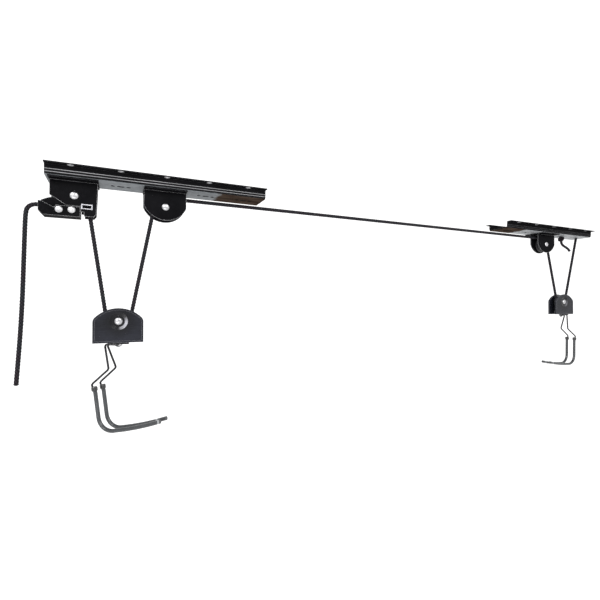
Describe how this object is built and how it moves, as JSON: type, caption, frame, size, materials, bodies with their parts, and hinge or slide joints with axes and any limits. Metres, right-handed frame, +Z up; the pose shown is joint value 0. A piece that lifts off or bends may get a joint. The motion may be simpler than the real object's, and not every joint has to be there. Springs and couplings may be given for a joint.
{
  "type": "ceiling hoist",
  "caption": "Ceiling-mounted rope hoist: two perforated rails with pulley brackets and a rope lock carry two hook blocks with sleeved double-prong hooks on one rope.",
  "frame": {"origin": "centre of the near rail's ceiling screw pattern, on the ceiling plane", "axes": "+X along the rails from the locking bracket's rail to the other rail, +Z up, +Y to the rear"},
  "size_m": [1.2117, 0.0833, 0.367],
  "materials": {
    "rail": "gloss black enamel on pressed steel",
    "liner": "bright zinc plate",
    "bracket": "gloss black enamel",
    "wheel": "moulded nylon",
    "sleeve": "soft vinyl dip",
    "wire": "dark plated spring wire",
    "block": "slate enamel on pressed steel",
    "lock_steel": "zinc-plated steel",
    "plated": "bright zinc plate",
    "rope": "braided polyester cord"
  },
  "bodies": {
    "frame": {"near_rail": "rail", "far_rail": "rail", "near_strip": "liner", "far_strip": "liner", "foot_a": "bracket", "foot_b": "bracket", "foot_c": "bracket", "cheek_a_front": "bracket", "cheek_a_rear": "bracket", "cheek_b_front": "bracket", "cheek_b_rear": "bracket", "cheek_c_front": "bracket", "cheek_c_rear": "bracket", "bracket_bolts": "plated", "bracket_nuts": "plated", "axle_a": "plated", "axle_b": "plated", "axle_c": "plated", "bracket_washers": "plated", "lock_channel": "bracket", "lock_plates": "bracket", "lock_stop_pin": "plated", "lock_spring": "lock_steel", "guide_frame": "plated", "rope_free_end": "rope", "rope_over_a": "rope", "rope_fall_1": "rope", "rope_fall_2": "rope", "rope_span": "rope", "rope_fall_3": "rope", "rope_fall_4": "rope", "rope_anchor": "rope", "rope_knot": "rope", "rope_tail": "rope", "lock_cam_pin": "plated"},
    "wheel_a": {"wheel_a": "wheel"},
    "wheel_b": {"wheel_b": "wheel"},
    "wheel_c": {"wheel_c": "wheel"},
    "lock_cam": {"lock_cam": "lock_steel"},
    "near_block": {"near_block_front": "block", "near_block_rear": "block", "near_block_axle": "plated", "near_block_washers": "plated", "near_bridge": "bracket", "rope_near_wrap": "rope"},
    "near_block_wheel": {"near_block_wheel": "wheel"},
    "near_ring": {"near_ring": "plated"},
    "near_hook": {"near_hook_wire": "wire", "near_hook_sleeves": "sleeve"},
    "far_block": {"far_block_front": "block", "far_block_rear": "block", "far_block_axle": "plated", "far_block_washers": "plated", "far_bridge": "bracket", "rope_far_wrap": "rope"},
    "far_block_wheel": {"far_block_wheel": "wheel"},
    "far_ring": {"far_ring": "plated"},
    "far_hook": {"far_hook_wire": "wire", "far_hook_sleeves": "sleeve"}
  },
  "joints": [
    {"name": "near_hoist", "type": "slide", "parent": "frame", "child": "near_block", "axis": [0, 0, 1], "range_m": [0, 0.1], "deforming": ["rope_fall_1", "rope_fall_2"]},
    {"name": "far_hoist", "type": "slide", "parent": "frame", "child": "far_block", "axis": [0, 0, 1], "range_m": [0, 0.1], "deforming": ["rope_fall_3", "rope_fall_4"]},
    {"name": "wheel_a_spin", "type": "hinge", "parent": "frame", "child": "wheel_a", "pos_m": [-0.119, 0, -0.0365], "axis": [0, -1, 0], "range_deg": [0, 1530]},
    {"name": "wheel_b_spin", "type": "hinge", "parent": "frame", "child": "wheel_b", "pos_m": [0, 0, -0.04], "axis": [0, -1, 0], "range_deg": [0, 765]},
    {"name": "wheel_c_spin", "type": "hinge", "parent": "frame", "child": "wheel_c", "pos_m": [0.872, 0, -0.04], "axis": [0, -1, 0], "range_deg": [0, 765]},
    {"name": "near_block_wheel_spin", "type": "hinge", "parent": "near_block", "child": "near_block_wheel", "pos_m": [-0.063, 0, -0.209], "axis": [0, 1, 0], "range_deg": [0, 1147]},
    {"name": "far_block_wheel_spin", "type": "hinge", "parent": "far_block", "child": "far_block_wheel", "pos_m": [0.94, 0, -0.178], "axis": [0, 1, 0], "range_deg": [0, 383]},
    {"name": "lock_cam_pivot", "type": "hinge", "parent": "frame", "child": "lock_cam", "pos_m": [-0.137, 0, -0.057], "axis": [0, 1, 0], "range_deg": [-12, 0], "stiffness_Nm_per_rad": 0.01, "springref_deg": 11.46},
    {"name": "near_ring_swing", "type": "hinge", "parent": "near_block", "child": "near_ring", "pos_m": [-0.063, 0, -0.2335], "axis": [0.8192, -0.5736, 0], "range_deg": [-6, 6]},
    {"name": "near_hook_swing", "type": "hinge", "parent": "near_ring", "child": "near_hook", "pos_m": [-0.063, 0, -0.2395], "axis": [0.5736, 0.8192, 0], "range_deg": [-20, 2]},
    {"name": "far_ring_swing", "type": "hinge", "parent": "far_block", "child": "far_ring", "pos_m": [0.94, 0, -0.2025], "axis": [-1, 0, 0], "range_deg": [-6, 6]},
    {"name": "far_hook_swing", "type": "hinge", "parent": "far_ring", "child": "far_hook", "pos_m": [0.94, 0, -0.2085], "axis": [0, -1, 0], "range_deg": [-20, 2]}
  ],
  "couplings": [
    {"joint": "far_hoist", "follows": "near_hoist", "ratio": 1},
    {"joint": "wheel_a_spin", "follows": "near_hoist", "rad_per_m": 266.67},
    {"joint": "wheel_b_spin", "follows": "near_hoist", "rad_per_m": 133.33},
    {"joint": "wheel_c_spin", "follows": "near_hoist", "rad_per_m": 133.33},
    {"joint": "near_block_wheel_spin", "follows": "near_hoist", "rad_per_m": 200},
    {"joint": "far_block_wheel_spin", "follows": "near_hoist", "rad_per_m": 66.667}
  ]
}
